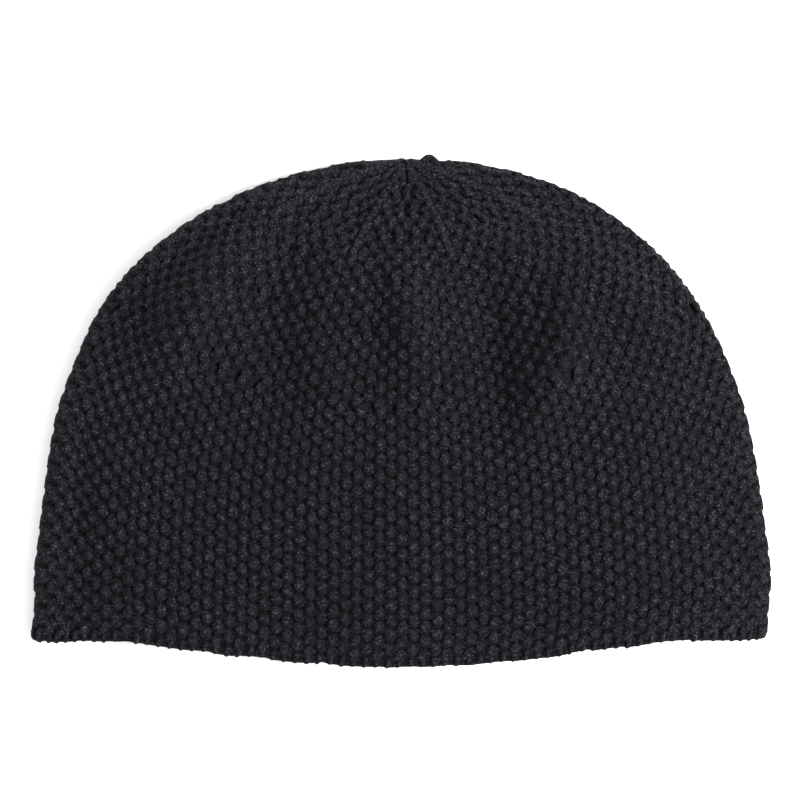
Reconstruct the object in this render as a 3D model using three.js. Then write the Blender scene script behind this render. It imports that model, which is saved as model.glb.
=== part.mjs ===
import * as THREE from 'three';

// A close-knit round cap (kufi) lying flat, front uppermost, as two layers folded along the sides and over the crown.
// Millimetres. +Z is up from the surface it lies on, +Y runs from the open hem to the gathered crown.

// Driving sizes of the fabric
const WALL = 3.5; // thickness of the knitted fabric
const FOLD_RADIUS = 2.8; // mid-fabric bend radius where the front turns into the back
const COURSES = 62; // rows of knitting, hem to crown
const COURSE_AT_HEM = 2.29; // height of one row at the middle of the hem
const COURSE_GROWTH = 0.0056; // each row upwards is taller by twice this much
const HEM_MIDDLE_Y = -82.3; // mid-fabric, lowest row, middle of the front
const HEM_LIP = 1.0; // rounded edge below the lowest row
const HEM_BELL_REACH = 0.79; // share of the half width over which the front hem dips
const HEM_BELL_FADE = 7; // rows over which the dip changes into an even curve
const BACK_HEM_LIFT = 5.2; // the back layer's hem stops short of the front hem
const BACK_LIFT_FADE = 12; // rows over which that difference fades out
const MOUTH_RISE = 5; // how far the front layer arches over the back at the hem
const CROWN_RISE = 8.5; // the same, half way up the cap
const RISE_REACH = 26; // distance in from the fold over which the arch comes up
const PLEAT_RISE = 0.9; // gathers round the crown
const PLEAT_REACH = 17;
const PLEAT_TURN = 21.2; // degrees from straight down the front to the first of the eight gathers
const DENT_FADE = 8; // dents and gathers die out this near the fold

// The lying outline, one side at a time: y, half width, and how far its middle is off centre
const OUTLINE = [
  { y: -74.1, half: 119.5, middle: -0.7 },
  { y: -63.3, half: 119.3, middle: 0.3 },
  { y: -53.5, half: 119.7, middle: 0.6 },
  { y: -38.9, half: 118.0, middle: 0.6 },
  { y: -24.2, half: 116.1, middle: 0.5 },
  { y: -9.6, half: 113.8, middle: 0.3 },
  { y: 0.2, half: 111.7, middle: 0.2 },
  { y: 9.9, half: 108.4, middle: 0.2 },
  { y: 19.7, half: 104.5, middle: 0.2 },
  { y: 29.4, half: 99.9, middle: 0.0 },
  { y: 39.2, half: 93.6, middle: 0.1 },
  { y: 48.9, half: 85.4, middle: 0.5 },
  { y: 58.7, half: 74.1, middle: 1.1 },
  { y: 68.5, half: 58.7, middle: 2.1 },
  { y: 74.4, half: 45.0, middle: 2.8 },
  { y: 78.3, half: 31.8, middle: 3.1 },
  { y: 80.4, half: 20.4, middle: 2.6 },
  { y: 81.4, half: 9.6, middle: 2.0 },
  { y: 81.7, half: 0.0, middle: 1.8 },
];

// Dents (rise below zero) and swellings of the front layer: middle, direction in degrees, half sizes, rise
const DENTS = [
  { x: -54.0, y: 53.0, turn: 48, long: 20, wide: 9.5, rise: 4.4 },
  { x: -69.5, y: 29.0, turn: 66, long: 22, wide: 9.5, rise: 4.8 },
  { x: -39.0, y: 34.0, turn: 78, long: 25, wide: 11.0, rise: -3.2 },
  { x: -24.0, y: 13.0, turn: 115, long: 11, wide: 6.0, rise: 1.8 },
  { x: 3.5, y: 31.0, turn: 95, long: 17, wide: 7.0, rise: 5.2 },
  { x: 6.5, y: 7.0, turn: 85, long: 17, wide: 9.0, rise: 1.2 },
  { x: 30.0, y: 21.0, turn: 95, long: 26, wide: 9.0, rise: -4.2 },
  { x: 54.0, y: 27.0, turn: 88, long: 15, wide: 7.5, rise: 3.6 },
  { x: 46.5, y: 5.0, turn: 65, long: 17, wide: 8.0, rise: 3.2 },
  { x: 28.0, y: 56.5, turn: -16, long: 19, wide: 7.0, rise: 3.4 },
  { x: -14.0, y: 60.0, turn: 75, long: 12, wide: 6.0, rise: -1.4 },
  { x: 77.0, y: 42.0, turn: -52, long: 34, wide: 11.0, rise: 4.2 },
  { x: -105.0, y: -25.0, turn: 86, long: 48, wide: 6.0, rise: -1.6 },
];

// Knot of the yarn drawn through the last stitches, seated on the crown fold
const KNOT = { x: 9.1, y: 82.4, z: 7.1, length: 4.6, radius: 1.0, arch: 0.25 };

// How finely the cap is cut into facets
const RINGS = 35;
const FRONT_STEPS = 28;
const BACK_STEPS = 14;
const FOLD_STEPS = 3;
const OUTLINE_STEPS = 260;

const lerp = (a, b, t) => a + (b - a) * t;

// Half width and middle of the outline as a smooth line through its table, turned inwards by half the fabric.
function outlineSide(side) {
  const through = OUTLINE.map((o) => new THREE.Vector3(o.middle + side * o.half, o.y, 0));
  const curve = new THREE.CatmullRomCurve3(through, false, 'centripetal');
  const points = curve.getSpacedPoints(OUTLINE_STEPS);
  return points.map((p, i) => {
    const before = points[Math.max(0, i - 1)];
    const after = points[Math.min(OUTLINE_STEPS, i + 1)];
    const along = new THREE.Vector2(after.x - before.x, after.y - before.y).normalize();
    const inward = new THREE.Vector2(-side * along.y, side * along.x);
    return new THREE.Vector2(p.x + (inward.x * WALL) / 2, p.y + (inward.y * WALL) / 2);
  });
}

const LEFT = outlineSide(-1);
const RIGHT = outlineSide(1);
const CROWN = LEFT[OUTLINE_STEPS].clone().add(RIGHT[OUTLINE_STEPS]).multiplyScalar(0.5);
LEFT[OUTLINE_STEPS].copy(CROWN);
RIGHT[OUTLINE_STEPS].copy(CROWN);

// The whole fold line: up the left side, over the crown, down the right side, run on below both hem corners.
const FOLD_LINE = [
  new THREE.Vector2(LEFT[0].x, LEFT[0].y - 40),
  ...LEFT,
  ...RIGHT.slice(0, OUTLINE_STEPS).reverse(),
  new THREE.Vector2(RIGHT[0].x, RIGHT[0].y - 40),
];

// Distance from the fold line, and the direction straight in from it.
function fromFold(x, y) {
  let best = Infinity;
  let nearX = 0;
  let nearY = 0;
  let inX = 0;
  let inY = 0;
  for (let i = 0; i + 1 < FOLD_LINE.length; i += 1) {
    const a = FOLD_LINE[i];
    const b = FOLD_LINE[i + 1];
    const dx = b.x - a.x;
    const dy = b.y - a.y;
    const size = dx * dx + dy * dy;
    if (size < 1e-9) continue;
    const t = Math.min(1, Math.max(0, ((x - a.x) * dx + (y - a.y) * dy) / size));
    const px = a.x + t * dx;
    const py = a.y + t * dy;
    const d = (x - px) ** 2 + (y - py) ** 2;
    if (d < best) {
      best = d;
      nearX = px;
      nearY = py;
      const run = Math.sqrt(size);
      inX = dy / run;
      inY = -dx / run;
    }
  }
  const distance = Math.sqrt(best);
  if (distance > 0.05) {
    inX = (x - nearX) / distance;
    inY = (y - nearY) / distance;
  }
  return { distance, inX, inY };
}

// Rise of the front layer over the height at which it leaves the fold: the arch, the dents and the crown gathers.
function frontRise(x, y) {
  const inside = Math.max(0, fromFold(x, y).distance - FOLD_RADIUS);
  const up = THREE.MathUtils.smoothstep(y, -75, 35);
  const arch = lerp(MOUTH_RISE, CROWN_RISE, up) * (1 - Math.exp(-((inside / RISE_REACH) ** 1.5)));
  let dents = 0;
  for (const dent of DENTS) {
    const turn = THREE.MathUtils.degToRad(dent.turn);
    const along = (x - dent.x) * Math.cos(turn) + (y - dent.y) * Math.sin(turn);
    const across = (y - dent.y) * Math.cos(turn) - (x - dent.x) * Math.sin(turn);
    dents += dent.rise * Math.exp(-((along / dent.long) ** 2) - (across / dent.wide) ** 2);
  }
  const reach = Math.hypot(x - CROWN.x, y - CROWN.y);
  const round = Math.atan2(x - CROWN.x, CROWN.y - y);
  const folds = Math.cos(8 * (round - THREE.MathUtils.degToRad(PLEAT_TURN)));
  const pleats = PLEAT_RISE * folds * Math.exp(-((reach / PLEAT_REACH) ** 2));
  const fade = 1 - Math.exp(-((inside / DENT_FADE) ** 2));
  return arch + (dents + pleats) * fade;
}

// Middle of the fabric and its outward direction over a plan point, on the front layer or the back one.
function fabricAt(x, y, front) {
  const { distance, inX, inY } = fromFold(x, y);
  const up = front ? 1 : -1;
  const axis = WALL / 2 + FOLD_RADIUS;
  if (distance < FOLD_RADIUS) {
    const flat = 1 - distance / FOLD_RADIUS;
    const rise = Math.sqrt(Math.max(0, 1 - flat * flat));
    const at = new THREE.Vector3(x, y, axis + up * FOLD_RADIUS * rise);
    return { at, out: new THREE.Vector3(-inX * flat, -inY * flat, up * rise) };
  }
  if (!front) {
    return { at: new THREE.Vector3(x, y, WALL / 2), out: new THREE.Vector3(0, 0, -1) };
  }
  const step = 0.3;
  const slopeX = (frontRise(x + step, y) - frontRise(x - step, y)) / (2 * step);
  const slopeY = (frontRise(x, y + step) - frontRise(x, y - step)) / (2 * step);
  const at = new THREE.Vector3(x, y, axis + FOLD_RADIUS + frontRise(x, y));
  return { at, out: new THREE.Vector3(-slopeX, -slopeY, 1).normalize() };
}

// Plan position of a row of knitting: share across from the left fold (-1) to the right fold (+1).
function rowPoint(row, across, front) {
  const along = (row / COURSES) * OUTLINE_STEPS;
  const i = Math.min(OUTLINE_STEPS - 1, Math.floor(along));
  const left = LEFT[i].clone().lerp(LEFT[i + 1], along - i);
  const right = RIGHT[i].clone().lerp(RIGHT[i + 1], along - i);
  const climb = COURSE_AT_HEM * row + COURSE_GROWTH * row * row;
  const lift = front ? 0 : BACK_HEM_LIFT * Math.exp(-row / BACK_LIFT_FADE);
  const top = COURSE_AT_HEM * COURSES + COURSE_GROWTH * COURSES * COURSES;
  const middleY = lerp(HEM_MIDDLE_Y, CROWN.y, climb / top) + lift;
  const spread = across * (1 + 0.07 * (1 - across * across));
  const bell = Math.abs(spread) < HEM_BELL_REACH ? (1 - (spread / HEM_BELL_REACH) ** 2) ** 1.5 : 0;
  const drop = lerp(spread * spread, 1 - bell, Math.exp(-row / HEM_BELL_FADE));
  const x = lerp(left.x, right.x, (1 + spread) / 2);
  const edgeY = across < 0 ? left.y : right.y;
  return new THREE.Vector2(x, lerp(middleY, edgeY, drop));
}

// One closed ring of the fabric at a row: over the front from left to right, back under it from right to left.
function ringAt(row) {
  const ring = [];
  const layer = (front, steps) => {
    const half = rowPoint(row, 1, front).distanceTo(rowPoint(row, -1, front)) / 2;
    const turnIn = Math.min(0.3, (FOLD_RADIUS * 1.04) / Math.max(half, 0.1));
    const places = [];
    for (let k = 0; k < FOLD_STEPS; k += 1) {
      const angle = (k / FOLD_STEPS) * (Math.PI / 2);
      places.push(-1 + turnIn * (1 - Math.cos(angle)));
    }
    for (let k = 0; k <= steps; k += 1) {
      places.push(lerp(-1 + turnIn, 1 - turnIn, k / steps));
    }
    for (let k = FOLD_STEPS - 1; k > 0; k -= 1) {
      places.push(1 - turnIn * (1 - Math.cos((k / FOLD_STEPS) * (Math.PI / 2))));
    }
    const ordered = front ? places : places.map((p) => -p);
    for (const across of ordered) {
      const p = rowPoint(row, across, front);
      ring.push(fabricAt(p.x, p.y, front));
    }
  };
  layer(true, FRONT_STEPS);
  layer(false, BACK_STEPS);
  return ring;
}

// A closed surface from rings of points, with a lip joining the outer to the inner skin and both ends closed.
function shellGeometry() {
  const rows = [];
  for (let i = 0; i < RINGS; i += 1) {
    rows.push((COURSES - 1.2) * (1 - (1 - i / (RINGS - 1)) ** 1.15));
  }
  const rings = rows.map((row) => ringAt(row));
  const count = rings[0].length;
  const positions = [];
  const faces = [];
  const put = (v) => {
    positions.push(v.x, v.y, v.z);
    return positions.length / 3 - 1;
  };
  const offset = (f, side) => f.at.clone().addScaledVector(f.out, (side * WALL) / 2);
  const outer = rings.map((ring) => ring.map((f) => put(offset(f, 1))));
  const inner = rings.map((ring) => ring.map((f) => put(offset(f, -1))));
  const lip = rings[0].map((f, j) => {
    const down = f.at.clone().sub(rings[1][j].at).normalize();
    return put(f.at.clone().addScaledVector(down, HEM_LIP));
  });
  const strip = (a, b) => {
    for (let j = 0; j < count; j += 1) {
      const k = (j + 1) % count;
      faces.push(a[j], b[j], b[k], a[j], b[k], a[k]);
    }
  };
  for (let i = 0; i + 1 < rings.length; i += 1) {
    strip(outer[i + 1], outer[i]);
    strip(inner[i], inner[i + 1]);
  }
  strip(outer[0], lip);
  strip(lip, inner[0]);
  const close = (loop, tip, flip) => {
    for (let j = 0; j < count; j += 1) {
      const k = (j + 1) % count;
      if (flip) faces.push(loop[j], tip, loop[k]);
      else faces.push(loop[j], loop[k], tip);
    }
  };
  const tipOuter = put(new THREE.Vector3(CROWN.x, CROWN.y + (WALL / 2) * 0.9, WALL / 2 + FOLD_RADIUS));
  const mean = new THREE.Vector3();
  for (const index of inner[RINGS - 1]) {
    mean.add(new THREE.Vector3().fromArray(positions, index * 3));
  }
  const tipInner = put(mean.divideScalar(count));
  close(outer[RINGS - 1], tipOuter, false);
  close(inner[RINGS - 1], tipInner, true);
  const geometry = new THREE.BufferGeometry();
  geometry.setAttribute('position', new THREE.Float32BufferAttribute(positions, 3));
  geometry.setIndex(faces);
  geometry.computeVertexNormals();
  return geometry;
}

// A short round bead of yarn, arched a little, with rounded ends.
function knotGeometry() {
  const geometry = new THREE.CapsuleGeometry(KNOT.radius, KNOT.length - 2 * KNOT.radius, 5, 12, 3);
  geometry.rotateZ(Math.PI / 2);
  const place = geometry.attributes.position;
  for (let i = 0; i < place.count; i += 1) {
    const x = place.getX(i);
    const bend = KNOT.arch * (1 - (x / (KNOT.length / 2)) ** 2);
    place.setXYZ(i, x + KNOT.x, place.getY(i) + KNOT.y, place.getZ(i) + KNOT.z + bend);
  }
  geometry.computeVertexNormals();
  return geometry;
}

const knit = new THREE.MeshStandardMaterial({ name: 'black_knit', color: 0x232328, roughness: 0.95 });
const yarn = new THREE.MeshStandardMaterial({ name: 'black_yarn', color: 0x26262b, roughness: 0.92 });

const shell = new THREE.Mesh(shellGeometry(), knit);
shell.name = 'knit_shell';
const knot = new THREE.Mesh(knotGeometry(), yarn);
knot.name = 'closing_knot';

const cap = new THREE.Group();
cap.name = 'kufi';
cap.add(shell);
cap.add(knot);

export default cap;
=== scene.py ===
"""A black hand-knitted kufi lying flat on a pale table, in seed stitch, its front uppermost.

The middle of the fabric is worked out first, as a smooth surface folded along the sides and over the
crown. The rows of knitting run round that surface. Each row is one real thread of yarn, wound so that
its stitches stand upright on the two faces of the fabric in turn. Lengths are in millimetres until a
mesh is made, which is in metres.
"""

import math

import bpy
import numpy as np
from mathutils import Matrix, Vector


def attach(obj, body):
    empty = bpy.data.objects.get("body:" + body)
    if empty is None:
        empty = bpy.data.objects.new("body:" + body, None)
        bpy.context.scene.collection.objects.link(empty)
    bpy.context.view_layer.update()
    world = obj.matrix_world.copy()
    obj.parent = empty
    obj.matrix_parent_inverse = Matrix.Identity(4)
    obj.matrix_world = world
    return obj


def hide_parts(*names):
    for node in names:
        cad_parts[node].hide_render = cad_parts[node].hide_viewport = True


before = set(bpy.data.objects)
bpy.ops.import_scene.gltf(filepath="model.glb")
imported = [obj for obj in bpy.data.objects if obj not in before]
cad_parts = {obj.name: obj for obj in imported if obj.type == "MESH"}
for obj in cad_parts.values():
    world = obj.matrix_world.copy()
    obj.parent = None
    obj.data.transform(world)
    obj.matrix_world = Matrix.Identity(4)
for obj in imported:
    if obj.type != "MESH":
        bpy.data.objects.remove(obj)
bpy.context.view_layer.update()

MM = 0.001

# The fabric as it lies, with the same sizes as the solid part
WALL = 3.5
FOLD_RADIUS = 2.8
COURSES = 62
COURSE_AT_HEM = 2.29
COURSE_GROWTH = 0.0056
HEM_MIDDLE_Y = -82.3
HEM_BELL_REACH = 0.79
HEM_BELL_FADE = 7
BACK_HEM_LIFT = 5.2
BACK_LIFT_FADE = 12
MOUTH_RISE = 5.0
CROWN_RISE = 8.5
RISE_FROM_Y = -75
RISE_TO_Y = 35
RISE_REACH = 26
PLEAT_RISE = 0.9
PLEAT_REACH = 17
DENT_FADE = 8
OUTWARDS = 0.07  # how much closer together the places across a row lie beside the folds

# The knitting
EDGE_PACE = 0.075  # how much the last rows hurry along the fold to the crown
EDGE_PACE_POWER = 12
FIRST_ROW_AT = 1.22  # height of the first row of seed stitch, counted in rows from the edge
FOLD_CROWDING = 0.36  # how much closer together the stitches lie beside the folds
FOLD_CROWDING_REACH = 19
YARN_RADIUS = 2.02  # in the middle of a stitch, where the soft yarn swells
YARN_AT_TURNS = 0.74  # share of the yarn's thickness left where it turns from one face to the other
YARN_OVER_FOLD = 0.82  # the same share where the fabric is stretched over a fold
YARN_FLATNESS = 0.70  # height of the yarn's section over its width, pressed flat by the stitches beside it
FOLD_PUSH = 0.72  # how far the stretched stitches stand out beyond the fold
FOLD_FLATTENING = 0.6  # share of a stitch's depth that the stretch takes away
STITCH_REACH = 0.44  # half the height of a stitch, in rows
STITCH_REACH_OVER_FOLD = 0.55
STITCH_UPRIGHT = 1.05  # 0 for a plain slanting winding, 1 for stitches that stand upright in the middle
STITCH_DEPTH = 0.45  # how far a stitch stands off the middle of the fabric
STITCH_WIDTH = 3.3  # distance between stitches at which the yarn has its full thickness
YARN_LEAST = 0.72  # share of that thickness where stitches crowd together
YARN_MOST = 1.08  # and where they lie apart
ROW_HEIGHT = 2.7  # distance between rows at which its turns do
TURNS_LEAST = 0.9
TURNS_MOST = 1.3
EDGE_FILLING = 0.8  # how far the turns of the lowest row fill out to the full thickness, beside the edge
EDGE_FILLING_FADE = 1.5
# The stitches' scale sets the painted shade between them: stretched stitches count as thinner and get less
# of it.
FOLD_FINENESS = 0.2  # how much thinner the stretched stitches count as when they are shaded
STITCH_ROLL = 0.38  # radians that a stitch leans to the side, one edge raised and the other tucked under
STITCH_STEPS = 10
YARN_SIDES = 6
CHAIN_FROM_ROW = 50  # from here up, the narrowing leaves a raised chain of stitches between the wedges
CHAIN_DEPTH = 0.75
ROUND_START = 8 / 136  # where the first wedge starts, as a share of the round, from the front's middle
CAST_ON_AT = 0.50  # middle of the upright stitches of the edge, in rows
CAST_ON_HALF_HEIGHT = 1.10
CAST_ON_DEPTH = 1.05  # how far these stand off the middle of the fabric
CAST_ON_UPRIGHT = 0.17  # how much of a stitch's width it takes to stand their outer half up
CAST_ON_YARN = 0.92  # radius of their yarn
CAST_ON_CORE_AT = 0.62  # the strand that this yarn is wound round, in rows
CAST_ON_CORE_YARN = 1.1
EDGE_STRAND_AT = 0.15  # the strand along the very edge, in rows
EDGE_STRAND_YARN = 1.0
EDGE_WAVE = 0.13  # how unevenly the edge was drawn up, in rows

# The usual differences between one stitch and the next, as hand knitting has them
UNEVEN_HEIGHT = 0.06  # as a share of the stitch's height
UNEVEN_PLACE = 0.02  # along the row, in stitches
UNEVEN_LEVEL = 0.03  # up or down, in rows
UNEVEN_DEPTH = 0.08  # as a share of its depth
UNEVEN_LEAN = 0.03  # in stitches
UNEVEN_YARN = 0.05  # as a share of the yarn's thickness
UNEVEN_EDGE = 0.07  # as a share of an edge stitch's height and thickness

# The picture that the camera sees, which the cap's width fills for 740 pixels
MM_PER_PIXEL = 240.7 / 740
PICTURE_PIXELS = 800
CAP_MIDDLE_PIXEL = 410.5  # down from the top of the picture

# The lying outline: y, half width, and how far its middle is off centre
OUTLINE = np.array(
    [
        # y, half, middle
        (-74.1, 119.5, -0.7),
        (-63.3, 119.3, 0.3),
        (-53.5, 119.7, 0.6),
        (-38.9, 118.0, 0.6),
        (-24.2, 116.1, 0.5),
        (-9.6, 113.8, 0.3),
        (0.2, 111.7, 0.2),
        (9.9, 108.4, 0.2),
        (19.7, 104.5, 0.2),
        (29.4, 99.9, 0.0),
        (39.2, 93.6, 0.1),
        (48.9, 85.4, 0.5),
        (58.7, 74.1, 1.1),
        (68.5, 58.7, 2.1),
        (74.4, 45.0, 2.8),
        (78.3, 31.8, 3.1),
        (80.4, 20.4, 2.6),
        (81.4, 9.6, 2.0),
        (81.7, 0.0, 1.8),
    ]
)

# Dents (rise below zero) and swellings of the front layer
DENTS = [
    # x, y, direction in degrees, half length, half width, rise
    (-54.0, 53.0, 48, 20, 9.5, 4.4),
    (-69.5, 29.0, 66, 22, 9.5, 4.8),
    (-39.0, 34.0, 78, 25, 11.0, -3.2),
    (-24.0, 13.0, 115, 11, 6.0, 1.8),
    (3.5, 31.0, 95, 17, 7.0, 5.2),
    (6.5, 7.0, 85, 17, 9.0, 1.2),
    (30.0, 21.0, 95, 26, 9.0, -4.2),
    (54.0, 27.0, 88, 15, 7.5, 3.6),
    (46.5, 5.0, 65, 17, 8.0, 3.2),
    (28.0, 56.5, -16, 19, 7.0, 3.4),
    (-14.0, 60.0, 75, 12, 6.0, -1.4),
    (77.0, 42.0, -52, 34, 11.0, 4.2),
    (-105.0, -25.0, 86, 48, 6.0, -1.6),
]

# Stitches in each of the cap's eight wedges, from a row upwards: the crown is narrowed two at a time
WEDGE_STITCHES = [
    # first row, stitches
    (0, 17),
    (33, 15),
    (42, 13),
    (48, 11),
    (53, 9),
    (56, 7),
    (58, 5),
    (60, 3),
    (61, 1),
]
WEDGES = 8

# Bands of rows, each a piece of its own
BANDS = [
    # name, first row, row after the last
    ("rows_at_edge", 0, 11),
    ("rows_lower_body", 11, 22),
    ("rows_middle_body", 22, 33),
    ("rows_upper_body", 33, 46),
    ("rows_of_crown", 46, 62),
]


def smoothstep(value, low, high):
    """0 below low and 1 above high, with the cubic 3t^2 - 2t^3 between them."""
    t = np.clip((value - low) / (high - low), 0, 1)
    return t * t * (3 - 2 * t)


def normalised(vectors):
    """Vectors divided by their lengths."""
    return vectors / np.maximum(np.linalg.norm(vectors, axis=-1, keepdims=True), 1e-12)


def smooth_line(through, spans=60, places=261):
    """A centripetal Catmull-Rom line through the points, cut into even places by its running length.

    Each span is the cubic a + b t + c t^2 + d t^3 whose ends and end slopes come from the four nearest
    points, with knots spaced by the square root of the distance between them.
    """
    ends = np.concatenate([[2 * through[0] - through[1]], through, [2 * through[-1] - through[-2]]])
    knot = np.sqrt(np.linalg.norm(np.diff(ends, axis=0), axis=1))
    p0, p1, p2, p3 = ends[:-3], ends[1:-2], ends[2:-1], ends[3:]
    k0, k1, k2 = knot[:-2, None], knot[1:-1, None], knot[2:, None]
    slope1 = ((p1 - p0) / k0 - (p2 - p0) / (k0 + k1) + (p2 - p1) / k1) * k1
    slope2 = ((p2 - p1) / k1 - (p3 - p1) / (k1 + k2) + (p3 - p2) / k2) * k1
    t = np.linspace(0, 1, spans, endpoint=False)[None, :, None]
    a, b = p1[:, None], slope1[:, None]
    c = (-3 * p1 + 3 * p2 - 2 * slope1 - slope2)[:, None]
    d = (2 * p1 - 2 * p2 + slope1 + slope2)[:, None]
    fine = np.concatenate([(a + b * t + c * t**2 + d * t**3).reshape(-1, 2), through[-1:]])
    run = np.concatenate([[0], np.cumsum(np.linalg.norm(np.diff(fine, axis=0), axis=1))])
    even = np.linspace(0, run[-1], places)
    return np.stack([np.interp(even, run, fine[:, 0]), np.interp(even, run, fine[:, 1])], 1)


def outline_side(side):
    """One side of the outline, moved inwards by half the fabric, from the edge to the crown."""
    points = smooth_line(np.stack([OUTLINE[:, 2] + side * OUTLINE[:, 1], OUTLINE[:, 0]], 1))
    along = normalised(np.gradient(points, axis=0))
    inward = np.stack([-side * along[:, 1], side * along[:, 0]], 1)
    return points + inward * WALL / 2


LEFT, RIGHT = outline_side(-1), outline_side(1)
CROWN = (LEFT[-1] + RIGHT[-1]) / 2
LEFT[-1] = RIGHT[-1] = CROWN
BELOW = np.array([[0, 40.0]])
FOLD_LINE = np.concatenate([LEFT[:1] - BELOW, LEFT, RIGHT[:-1][::-1], RIGHT[:1] - BELOW])


def from_fold(x, y):
    """Distance from the fold line and the direction straight in from it.

    Both are taken from the nearest point of all its segments, and on the line itself the direction is
    square to the segment.
    """
    a, b = FOLD_LINE[:-1], FOLD_LINE[1:]
    run = np.linalg.norm(b - a, axis=1)
    keep = run > 1e-6
    a, b, run = a[keep], b[keep], run[keep]
    way = (b - a) / run[:, None]
    distance, inward = np.empty(len(x)), np.empty((len(x), 2))
    for start in range(0, len(x), 4000):
        some = slice(start, start + 4000)
        part = np.stack([x[some], y[some]], 1)
        rel = part[:, None, :] - a[None]
        t = np.clip((rel * way).sum(2), 0, run)
        gap = rel - way * t[..., None]
        size = (gap**2).sum(2)
        best = size.argmin(1)
        here = np.arange(len(part))
        d = np.sqrt(size[here, best])
        straight = np.stack([way[best, 1], -way[best, 0]], 1)
        towards = gap[here, best] / np.maximum(d, 1e-9)[:, None]
        distance[some] = d
        inward[some] = np.where((d > 0.05)[:, None], towards, straight)
    return distance, inward


def front_rise(x, y):
    """Rise of the front layer over the height at which it leaves the fold.

    It is an arch 1 - exp(-(d/reach)^1.5) of the distance in, with bell-shaped dents, and gathers that go
    as the cosine of eight times the direction from the crown.
    """
    inside = np.maximum(0, from_fold(x, y)[0] - FOLD_RADIUS)
    height = MOUTH_RISE + (CROWN_RISE - MOUTH_RISE) * smoothstep(y, RISE_FROM_Y, RISE_TO_Y)
    arch = height * (1 - np.exp(-((inside / RISE_REACH) ** 1.5)))
    dents = np.zeros(len(x))
    for dent_x, dent_y, turn, long, wide, rise in DENTS:
        way_x, way_y = math.cos(math.radians(turn)), math.sin(math.radians(turn))
        along = (x - dent_x) * way_x + (y - dent_y) * way_y
        across = (y - dent_y) * way_x - (x - dent_x) * way_y
        dents += rise * np.exp(-((along / long) ** 2) - (across / wide) ** 2)
    reach = np.hypot(x - CROWN[0], y - CROWN[1])
    round_ = np.arctan2(x - CROWN[0], CROWN[1] - y)
    from_wedge = round_ - 2 * math.pi * ROUND_START
    pleats = PLEAT_RISE * np.cos(WEDGES * from_wedge) * np.exp(-((reach / PLEAT_REACH) ** 2))
    return arch + (dents + pleats) * (1 - np.exp(-((inside / DENT_FADE) ** 2)))


def fabric_at(x, y, front):
    """Middle of the fabric and its outward direction over plan points, on the front or the back layer."""
    distance, inward = from_fold(x, y)
    up = 1 if front else -1
    flat = np.clip(1 - distance / FOLD_RADIUS, 0, 1)
    rise = np.sqrt(np.maximum(0, 1 - flat**2))
    z = WALL / 2 + FOLD_RADIUS + up * FOLD_RADIUS * rise
    out = np.stack([-inward[:, 0] * flat, -inward[:, 1] * flat, up * rise], 1)
    if front:
        step = 0.3
        slope_x = (front_rise(x + step, y) - front_rise(x - step, y)) / (2 * step)
        slope_y = (front_rise(x, y + step) - front_rise(x, y - step)) / (2 * step)
        tilted = np.stack([-slope_x, -slope_y, np.ones(len(x))], 1)
        out = np.where((flat > 0)[:, None], out, tilted)
        z = z + front_rise(x, y)
    return np.stack([x, y, z], 1), normalised(out)


def row_line(row, across, front):
    """Plan line of a row on the front or the back.

    x goes by its share across, and y falls from the middle to the folds as the square of it. At the edge
    y goes as the bell (1 - s^2)^1.5 instead, which fades over the first rows.
    """
    share = row / COURSES
    along = ((1 - EDGE_PACE) * share + EDGE_PACE * share**EDGE_PACE_POWER) * (len(LEFT) - 1)
    places = np.arange(len(LEFT))
    left = np.array([np.interp(along, places, LEFT[:, 0]), np.interp(along, places, LEFT[:, 1])])
    right = np.array([np.interp(along, places, RIGHT[:, 0]), np.interp(along, places, RIGHT[:, 1])])
    climb = COURSE_AT_HEM * row + COURSE_GROWTH * row**2
    top = COURSE_AT_HEM * COURSES + COURSE_GROWTH * COURSES**2
    lift = 0 if front else BACK_HEM_LIFT * math.exp(-row / BACK_LIFT_FADE)
    middle_y = HEM_MIDDLE_Y + (CROWN[1] - HEM_MIDDLE_Y) * climb / top + lift
    spread = across * (1 + OUTWARDS * (1 - across**2))
    bell = np.maximum(0, 1 - (spread / HEM_BELL_REACH) ** 2) ** 1.5
    fade = math.exp(-row / HEM_BELL_FADE)
    drop = spread**2 * (1 - fade) + (1 - bell) * fade
    x = left[0] + (right[0] - left[0]) * (1 + spread) / 2
    edge_y = np.where(across < 0, left[1], right[1])
    return x, middle_y + (edge_y - middle_y) * drop


# Places of the grid: every half row, and six to a stitch of the 136 all round the body
ROW_PLACES = np.concatenate([np.arange(0, 61.6, 0.5), [61.8]])
ROUND_PLACES = 816


def knitted_surface():
    """The middle of the fabric and its outward direction on a grid of rows by even steps round each row.

    A row runs from the middle of the front to the right fold, along the back to the left fold and on to
    its start. Steps near the folds are close, as the sine of a quarter turn. They are then spaced evenly
    by running length, with a bell-shaped crowding beside the folds.
    """
    across = np.sin(np.linspace(-1, 1, 161) * math.pi / 2)
    surface = np.empty((len(ROW_PLACES), ROUND_PLACES, 6))
    for i, row in enumerate(ROW_PLACES):
        x, y = row_line(row, across, True)
        front_at, front_out = fabric_at(x, y, True)
        x, y = row_line(row, -across, False)
        back_at, back_out = fabric_at(x, y, False)
        at = np.concatenate([front_at[80:], back_at[1:], front_at[1:81]])
        out = np.concatenate([front_out[80:], back_out[1:], front_out[1:81]])
        from_edge = from_fold(at[:, 0], at[:, 1])[0]
        crowding = 1 + FOLD_CROWDING * np.exp(-((from_edge / FOLD_CROWDING_REACH) ** 2))
        steps = np.linalg.norm(np.diff(at, axis=0), axis=1) * (crowding[1:] + crowding[:-1]) / 2
        run = np.concatenate([[0], np.cumsum(steps)])
        even = np.linspace(0, run[-1], ROUND_PLACES, endpoint=False)
        both = np.concatenate([at, out], 1)
        surface[i] = np.stack([np.interp(even, run, both[:, k]) for k in range(6)], 1)
    return surface


SURFACE = knitted_surface()


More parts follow.
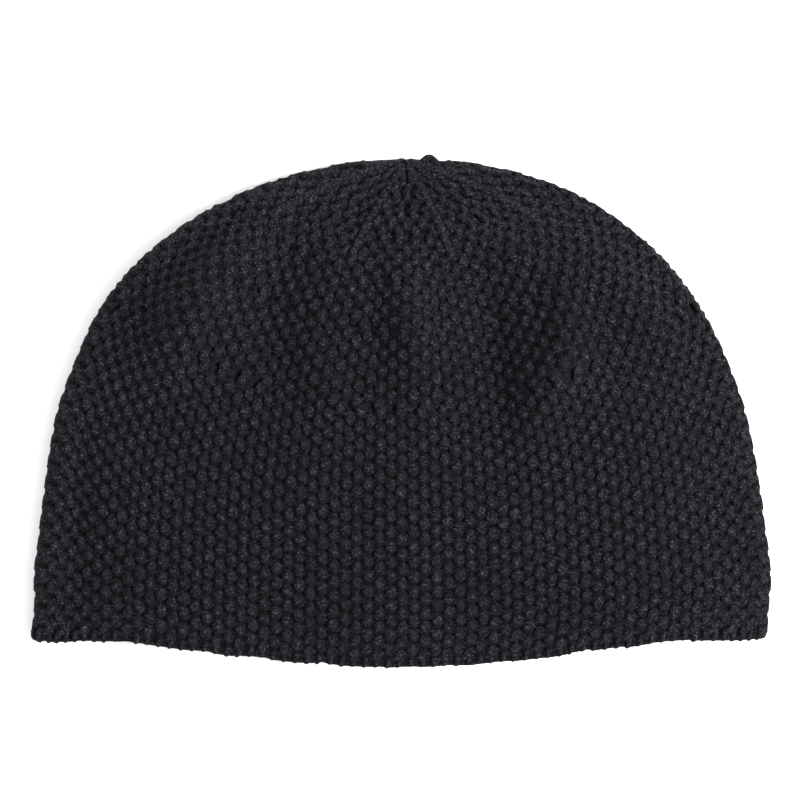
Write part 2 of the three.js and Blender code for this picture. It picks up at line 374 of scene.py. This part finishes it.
def on_fabric(row, turn):
    """Point and outward direction at a height in rows and a share of the way round.

    They are mixed from the grid's four nearest points, and run straight on below its lowest row.
    """
    r = np.interp(row, ROW_PLACES, np.arange(len(ROW_PLACES)))
    beyond = np.minimum(0, row) / 0.5
    r0 = np.clip(np.floor(r).astype(int), 0, len(ROW_PLACES) - 2)
    fr = (r - r0 + beyond)[:, None]
    t = np.mod(turn, 1) * ROUND_PLACES
    t0 = np.floor(t).astype(int) % ROUND_PLACES
    ft = (t - np.floor(t))[:, None]
    t1 = (t0 + 1) % ROUND_PLACES
    low = SURFACE[r0, t0] * (1 - ft) + SURFACE[r0, t1] * ft
    high = SURFACE[r0 + 1, t0] * (1 - ft) + SURFACE[r0 + 1, t1] * ft
    mixed = low * (1 - fr) + high * fr
    return mixed[:, :3], normalised(mixed[:, 3:])


def yarn_tubes(at, out, off, radius, rounds, sides=YARN_SIDES, flatness=1.0, roll=0.0, scale=1.0):
    """Soft yarn carried along closed paths, or along an open one with pointed ends.

    Each path point has a ring of corners at radius times cos and sin of even angles, in the plane square
    to the path, with the fabric's outward direction as its upright. flatness is the ring's height over its
    width, and roll turns it about the path. Wool that would reach below the table is pressed flat on it.
    rounds holds the first point of each path, its length and whether it closes. The map's u is the running
    length in centimetres and v goes once round the yarn. Stand is how far a corner is from the middle of
    the fabric, where off is how far the path is; the wool's colour is painted darker where it is low, as
    shade between the stitches. It is divided by scale, so that a thinner stitch counts as a full one.
    """
    count = len(at)
    after, before = np.arange(count) + 1, np.arange(count) - 1
    whole = np.ones(count, bool)
    for first, size, closed in rounds:
        after[first + size - 1] = first if closed else first + size - 1
        before[first] = first + size - 1 if closed else first
        whole[first + size - 1] = closed
    way = normalised(at[after] - at[before])
    upright = normalised(out - way * (out * way).sum(1, keepdims=True))
    aside = np.cross(way, upright)
    tip = roll * np.ones((count, 1)) if np.isscalar(roll) else roll[:, None]
    raised = upright * np.cos(tip) + aside * np.sin(tip)
    level = aside * np.cos(tip) - upright * np.sin(tip)
    angle = np.arange(sides) / sides * 2 * math.pi
    spread = raised[:, None] * (flatness * np.cos(angle))[None, :, None]
    spread = spread + level[:, None] * np.sin(angle)[None, :, None]
    corners = at[:, None] + spread * radius[:, None, None]
    corners[..., 2] = np.maximum(corners[..., 2], 0)
    # The stand sets the painted shade between the stitches in the wool's colour.
    stand = np.abs(off[:, None] + radius[:, None] * (spread * out[:, None]).sum(2))
    stand = stand / (scale * np.ones(count))[:, None]
    step = np.linalg.norm(at[after] - at, axis=1)
    run = np.concatenate([[0], np.cumsum(step)[:-1]])
    i = np.arange(count)[whole]
    j = np.arange(sides)
    here, ahead = i[:, None] * sides, after[i][:, None] * sides
    k = (j + 1) % sides
    faces = np.stack([here + j, here + k, ahead + k, ahead + j], 2).reshape(-1, 4)
    near = np.broadcast_to(run[i][:, None], (len(i), sides)) / 10
    far = near + step[i][:, None] / 10
    v0 = np.broadcast_to(j / sides, (len(i), sides))
    v1 = v0 + 1 / sides
    corner_map = np.stack([near, v0, near, v1, far, v1, far, v0], 2).reshape(-1, 4, 2)
    return corners.reshape(-1, 3), faces, corner_map, stand.ravel()


def mesh_piece(name, corners, faces, corner_map, stand, material):
    """A smooth piece from arrays of corners in millimetres and of four-sided faces.

    corner_map has a map value for each face corner, and stand says how far each corner is from the middle
    of the fabric, which sets how deep the painted shade in the wool's colour is.
    """
    mesh = bpy.data.meshes.new(name)
    mesh.vertices.add(len(corners))
    mesh.vertices.foreach_set("co", (corners * MM).astype(np.float32).ravel())
    mesh.loops.add(faces.size)
    mesh.loops.foreach_set("vertex_index", faces.astype(np.int32).ravel())
    mesh.polygons.add(len(faces))
    mesh.polygons.foreach_set("loop_start", np.arange(0, faces.size, 4, dtype=np.int32))
    mesh.polygons.foreach_set("loop_total", np.full(len(faces), 4, np.int32))
    mesh.polygons.foreach_set("use_smooth", np.ones(len(faces), bool))
    layer = mesh.uv_layers.new(name="yarn")
    layer.data.foreach_set("uv", corner_map.astype(np.float32).ravel())
    mesh.attributes.new("stand", "FLOAT", "POINT").data.foreach_set("value", stand.astype(np.float32))
    mesh.update(calc_edges=True)
    mesh.validate()
    mesh.materials.append(material)
    piece = bpy.data.objects.new(name, mesh)
    bpy.context.scene.collection.objects.link(piece)
    return piece


def stitches_in_row(row):
    """Stitches all round a row, from the table of the wedges."""
    return WEDGES * [n for first, n in WEDGE_STITCHES if row >= first][-1]


def seed_stitch_row(row, chance):
    """The path of one row's yarn: a flattened winding, upright on the two faces of the fabric in turn.

    Across a stitch v goes from -1/2 to 1/2. The yarn climbs as sin(pi v) in one stitch and comes down in
    the next. It stands off the fabric as cos(pi v), on the front and the back in turn, from stitch to
    stitch and from row to row, which makes it seed stitch. Along the row it runs as v less sin(2 pi v),
    which stands each stitch up. Its thickness goes from that of the turns to that of the middle as
    cos(pi v), less where the stitches crowd together. Over the folds the stitches lie flatter and closer.
    """
    count = stitches_in_row(row)
    stitch = np.repeat(np.arange(count), STITCH_STEPS)
    v = np.tile(np.arange(STITCH_STEPS) / STITCH_STEPS - 0.5, count)
    climb = np.where(np.arange(count) % 2 == 0, 1.0, -1.0)
    face = np.where((np.arange(count) + row) % 2 == 0, 1.0, -1.0)
    height = 1 + UNEVEN_HEIGHT * chance.standard_normal(count)
    shift = UNEVEN_PLACE * chance.standard_normal(count)
    lift = UNEVEN_LEVEL * chance.standard_normal(count)
    depth = STITCH_DEPTH * (1 + UNEVEN_DEPTH * chance.standard_normal(count))
    lean = UNEVEN_LEAN * chance.standard_normal(count)
    fat = 1 + UNEVEN_YARN * chance.standard_normal(count)
    if row >= CHAIN_FROM_ROW:
        chain = np.arange(count) % (count // WEDGES) == 0
        face[chain] = 1.0
        depth[chain] = CHAIN_DEPTH
    middle_part = np.cos(math.pi * v)
    sideways = v + (lean[stitch] - STITCH_UPRIGHT / (2 * math.pi)) * np.sin(2 * math.pi * v)
    turn = (stitch + sideways + shift[stitch] * middle_part**2) / count + ROUND_START
    level = np.full(len(v), row + FIRST_ROW_AT)
    facing_up = np.abs(on_fabric(level, turn)[1][:, 2])
    over_fold = 1 - smoothstep(facing_up, 0.15, 0.85)
    reach = STITCH_REACH + (STITCH_REACH_OVER_FOLD - STITCH_REACH) * over_fold
    upwards = climb[stitch] * reach * np.sin(math.pi * v) * (1 + (height[stitch] - 1) * middle_part)
    middle, out = on_fabric(level + upwards + lift[stitch] * middle_part**2, turn)
    off = face[stitch] * depth[stitch] * middle_part * (1 - FOLD_FLATTENING * over_fold)
    ahead = on_fabric(level, turn + 0.5 / count)[0]
    behind = on_fabric(level, turn - 0.5 / count)[0]
    above = on_fabric(level + 0.5, turn)[0]
    below = on_fabric(level - 0.5, turn)[0]
    room = np.linalg.norm(np.cross(ahead - behind, above - below), axis=1) / ROW_HEIGHT
    room = np.minimum(room, np.linalg.norm(ahead - behind, axis=1))
    wide = np.clip(room / STITCH_WIDTH, YARN_LEAST, YARN_MOST)
    tall = np.clip(np.linalg.norm(above - below, axis=1) / ROW_HEIGHT, TURNS_LEAST, TURNS_MOST)
    turns = YARN_AT_TURNS + (YARN_OVER_FOLD - YARN_AT_TURNS) * over_fold
    turns = (turns + (1 - turns) * EDGE_FILLING * math.exp(-row / EDGE_FILLING_FADE)) * tall
    radius = YARN_RADIUS * (turns + (fat[stitch] * wide - turns) * middle_part)
    at = middle + out * (off + FOLD_PUSH * over_fold)[:, None]
    roll = climb[stitch] * STITCH_ROLL * middle_part
    # The last value is the scale for the painted shade between the stitches.
    return at, out, off, radius, roll, wide * (1 - FOLD_FINENESS * over_fold)


def seed_stitch_band(first, last, chance):
    """The rows from first up to last, each its own closed path."""
    rows = [seed_stitch_row(row, chance) for row in range(first, last)]
    sizes = [len(row[0]) for row in rows]
    starts = np.concatenate([[0], np.cumsum(sizes)[:-1]])
    at, out, off, radius, roll, scale = [np.concatenate(part) for part in zip(*rows)]
    rounds = [(int(start), size, True) for start, size in zip(starts, sizes)]
    return yarn_tubes(at, out, off, radius, rounds, YARN_SIDES, YARN_FLATNESS, roll, scale)


def cast_on_edge(chance):
    """The edge: yarn wound once for each stitch round a plain strand, upright on the outside.

    The winding is a tall helix, cos and sin of an angle that goes once round a stitch. Along the row it
    runs evenly less 1 - cos of the angle, which stands its outer half up and leaves the inner one slanting.
    The strand inside it and the one along the very edge are row lines of their own.
    """
    count = stitches_in_row(0)
    steps = 12
    stitch = np.repeat(np.arange(count), steps)
    a = np.tile(np.arange(steps) / steps * 2 * math.pi, count)
    tall = CAST_ON_HALF_HEIGHT * (1 + UNEVEN_EDGE * chance.standard_normal(count))[stitch]
    drawn = chance.standard_normal(count)
    wave = EDGE_WAVE * (drawn + np.roll(drawn, 1)) / 2
    lift = (wave + UNEVEN_LEVEL * chance.standard_normal(count))[stitch]
    thick = CAST_ON_YARN * (1 + UNEVEN_EDGE * chance.standard_normal(count))[stitch]
    turn = (stitch + a / (2 * math.pi) - CAST_ON_UPRIGHT * (1 - np.cos(a))) / count
    middle, out = on_fabric(CAST_ON_AT + lift - tall * np.cos(a) / COURSE_AT_HEM, turn)
    off = CAST_ON_DEPTH * np.sin(a)
    places = 2 * count
    strand, strand_out = on_fabric(EDGE_STRAND_AT + np.repeat(wave, 2), np.arange(places) / places)
    core, core_out = on_fabric(CAST_ON_CORE_AT + np.repeat(wave, 2), np.arange(places) / places)
    return yarn_tubes(
        np.concatenate([middle + out * off[:, None], strand, core]),
        np.concatenate([out, strand_out, core_out]),
        np.concatenate([off, np.zeros(2 * places)]),
        np.concatenate([thick, np.full(places, EDGE_STRAND_YARN), np.full(places, CAST_ON_CORE_YARN)]),
        [(0, len(off), True), (len(off), places, True), (len(off) + places, places, True)],
    )


class Socket:
    """A material's number at each point, which adds, subtracts and multiplies as numbers do."""

    def __init__(self, tree, socket):
        self.tree = tree
        self.socket = socket

    def maths(self, operation, *values):
        node = self.tree.nodes.new("ShaderNodeMath")
        node.operation = operation
        for place, value in zip(node.inputs, values):
            if isinstance(value, Socket):
                self.tree.links.new(value.socket, place)
            else:
                place.default_value = value
        return Socket(self.tree, node.outputs[0])

    def __add__(self, other):
        return self.maths("ADD", self, other)

    def __radd__(self, other):
        return self.maths("ADD", other, self)

    def __sub__(self, other):
        return self.maths("SUBTRACT", self, other)

    def __rsub__(self, other):
        return self.maths("SUBTRACT", other, self)

    def __mul__(self, other):
        return self.maths("MULTIPLY", self, other)

    def __rmul__(self, other):
        return self.maths("MULTIPLY", other, self)

    def power_of(self, base):
        """The base raised to this number."""
        return self.maths("POWER", base, self)

    def sine(self):
        return self.maths("SINE", self)

    def cosine(self):
        return self.maths("COSINE", self)

    def size(self):
        return self.maths("ABSOLUTE", self)

    def clamped(self):
        return self.maths("MINIMUM", self.maths("MAXIMUM", self, 0.0), 1.0)


class Finish:
    """A material being put together."""

    def __init__(self, name):
        self.material = bpy.data.materials.new(name)
        self.material.use_nodes = True
        self.tree = self.material.node_tree
        self.surface = self.tree.nodes["Principled BSDF"]

    def node(self, kind, settings=None, inputs=None):
        """Any other node: its type, its settings and its inputs by name, each a value or a socket."""
        made = self.tree.nodes.new(kind)
        for key, value in (settings or {}).items():
            setattr(made, key, value)
        for key, value in (inputs or {}).items():
            self.give(made.inputs[key], value)
        return made

    def give(self, place, value):
        if isinstance(value, Socket):
            self.tree.links.new(value.socket, place)
        elif isinstance(value, bpy.types.NodeSocket):
            self.tree.links.new(value, place)
        else:
            place.default_value = value

    def number(self, node, output):
        return Socket(self.tree, node.outputs[output])

    def noise(self, place, scale, detail, roughness):
        """A cloudy number from 0 to 1 that changes from place to place."""
        inputs = {"Vector": place, "Scale": scale, "Detail": detail, "Roughness": roughness}
        return self.number(self.node("ShaderNodeTexNoise", None, inputs), "Fac")

    def vector(self, x, y, z):
        return self.node("ShaderNodeCombineXYZ", None, {"X": x, "Y": y, "Z": z}).outputs[0]

    def mix(self, share, low, high):
        """A colour between two, by a share."""
        made = self.node("ShaderNodeMix", {"data_type": "RGBA"})
        self.give(made.inputs[0], share)
        self.give(made.inputs[6], low)
        self.give(made.inputs[7], high)
        return made.outputs[2]

    def set(self, **values):
        for key, value in values.items():
            self.give(self.surface.inputs[key.replace("_", " ")], value)


def black_wool(name, deep, light):
    """Soft spun black yarn: three plies twisted together, with fine fibres along them.

    Lighter fibre ends and painted glints fleck it. They go as e to the power of the noises added up, and
    painted shade darkens them from the heads of the stitches down into the hollows between, so that most
    are on the heads, where nothing shades them.
    """
    finish = Finish(name)
    place = finish.node("ShaderNodeUVMap", {"uv_map": "yarn"})
    parts = finish.node("ShaderNodeSeparateXYZ", None, {"Vector": place.outputs[0]})
    along = finish.number(parts, "X") * 10
    turn = finish.number(parts, "Y") * (2 * math.pi)
    twist_length = 5.2
    twisted = turn + along * (2 * math.pi / twist_length)
    ply = (twisted * 1.5).sine().size()
    fibre_place = finish.vector(along * 1.1, twisted.cosine() * 3.2, twisted.sine() * 3.2)
    fibre = finish.noise(fibre_place, 1.6, 3.0, 0.65)
    body = finish.node("ShaderNodeTexCoord").outputs["Object"]
    grain = finish.noise(body, 1500.0, 2.0, 0.7)
    broad = finish.noise(body, 28.0, 2.0, 0.5)
    stand = finish.number(finish.node("ShaderNodeAttribute", {"attribute_name": "stand"}), "Fac")
    # Painted shade: the colour is darker where the yarn lies deep between the stitches and lighter on their
    # heads, by the stand; the specks are partly the fibres' own lighter tone and partly painted glints.
    painted_light_on_crest = (stand - 0.8).clamped()
    fibre_tone_and_painted_glints = (fibre - 0.5) * 5.0 + (grain - 0.5) * 12.5 + (broad - 0.5) + ply * 0.3
    fibre_tone_and_painted_light = ((painted_light_on_crest * 0.68 + 0.32) * fibre_tone_and_painted_glints.power_of(math.e) * 0.098).clamped()
    colour = finish.mix(fibre_tone_and_painted_light, deep, light)
    relief = ply * 0.5 + fibre * 0.8 + grain * 0.8
    bump = finish.node("ShaderNodeBump", None, {"Strength": 1.0, "Distance": 0.0009, "Height": relief})
    finish.set(Base_Color=colour, Roughness=0.6, Normal=bump.outputs[0])
    finish.set(Sheen_Weight=0.01, Sheen_Roughness=0.5, Specular_IOR_Level=0.05)
    return finish.material


def plain_finish(name, colour, roughness):
    finish = Finish(name)
    finish.set(Base_Color=colour, Roughness=roughness, Specular_IOR_Level=0.2)
    return finish.material


def lay_floor():
    """A broad flat square for the table."""
    half = 3000.0
    under = -0.05
    corners = np.array([(x * half, y * half, under) for x, y in [(-1, -1), (1, -1), (1, 1), (-1, 1)]])
    square = np.array([[(0, 0), (1, 0), (1, 1), (0, 1)]], float)
    table = plain_finish("pale_table", (0.95, 0.95, 0.95, 1), 0.9)
    floor = mesh_piece("table_top", corners, np.array([[0, 1, 2, 3]]), square, np.zeros(4), table)


def soft_light(name, place, size, power, aim=(0.0, 0.0, 0.0)):
    """A square panel of light at a place in metres, turned towards aim."""
    lamp = bpy.data.lights.new(name, "AREA")
    lamp.shape = "SQUARE"
    lamp.size = size
    lamp.energy = power
    holder = bpy.data.objects.new(name, lamp)
    holder.location = place
    holder.rotation_mode = "QUATERNION"
    holder.rotation_quaternion = (Vector(aim) - Vector(place)).to_track_quat("-Z", "Y")
    bpy.context.scene.collection.objects.link(holder)


def light_and_camera():
    """Even light from all round, a broad panel up to the right with a faint one low on the left, and the
    camera straight above."""
    world = bpy.data.worlds.new("pale_room")
    world.use_nodes = True
    world.node_tree.nodes["Background"].inputs[0].default_value = (1.0, 1.0, 1.0, 1)
    world.node_tree.nodes["Background"].inputs[1].default_value = 1.15
    bpy.context.scene.world = world
    soft_light("panel_right", (4.0, 0.1, 2.6), 1.7, 560.0)
    soft_light("panel_left", (-2.4, -0.2, 1.0), 1.2, 24.0)
    bpy.context.scene.view_settings.view_transform = "Standard"
    lens = bpy.data.cameras.new("above")
    lens.lens = 200
    lens.sensor_width = 36
    camera = bpy.data.objects.new("above", lens)
    aside = -0.0002
    northwards = (CAP_MIDDLE_PIXEL - PICTURE_PIXELS / 2) * MM_PER_PIXEL * MM
    above = 0.0036 + PICTURE_PIXELS * MM_PER_PIXEL * MM * lens.lens / lens.sensor_width
    camera.location = (aside, northwards, above)
    camera.rotation_euler = (0, 0, 0)
    bpy.context.scene.collection.objects.link(camera)
    bpy.context.scene.camera = camera


def knit_the_cap(wool):
    """The bands of rows and the edge, all in place of the plain fabric wall."""
    chance = np.random.default_rng(7)
    for name, first, last in BANDS:
        piece = mesh_piece(name, *seed_stitch_band(first, last, chance), wool)
        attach(piece, "root")
        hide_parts("knit_shell")
    piece = mesh_piece("cast_on_edge", *cast_on_edge(chance), wool)
    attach(piece, "root")
    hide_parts("knit_shell")


def closing_loop(wool):
    """The end of the yarn that closes the crown: a short loop on the fold, with both ends tucked in.

    With s even from -1 to 1, it runs along the fold as s, out from the crown as cos^2 of a quarter turn
    of s, and up as 1 - s^2, a little higher at its right end. Its thickness goes as the root of 1 - s^8.
    """
    middle_x, middle_y, middle_z = 9.2, 79.7, 5.2
    half_length, bulge, rise, slant = 3.9, 2.4, 1.8, 0.4
    s = np.linspace(-1, 1, 19)
    x = middle_x + half_length * s
    y = middle_y + bulge * np.cos(s * math.pi / 2) ** 2
    z = middle_z + rise * (1 - s**2) + slant * s
    at = np.stack([x, y, z], 1)
    out = np.tile(normalised(np.array([[0.0, 0.4, 0.9]])), (len(s), 1))
    radius = 1.15 * np.sqrt(np.maximum(0.02, 1 - s**8))
    tube = yarn_tubes(at, out, np.full(len(s), 0.9), radius, [(0, len(s), False)], 8)
    piece = mesh_piece("closing_loop", *tube, wool)
    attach(piece, "root")
    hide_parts("closing_knot")


# The wool's colours: the darkest for the painted shade deep between the stitches and for dark fibres, the
# lightest for lighter fibres and painted glints.
deep_black = (0.0022, 0.0021, 0.0028, 1)
knit_the_cap(black_wool("black_knit_wool", deep_black, (0.058, 0.056, 0.074, 1)))
closing_loop(black_wool("black_closing_yarn", deep_black, (0.060, 0.058, 0.076, 1)))
lay_floor()
light_and_camera()
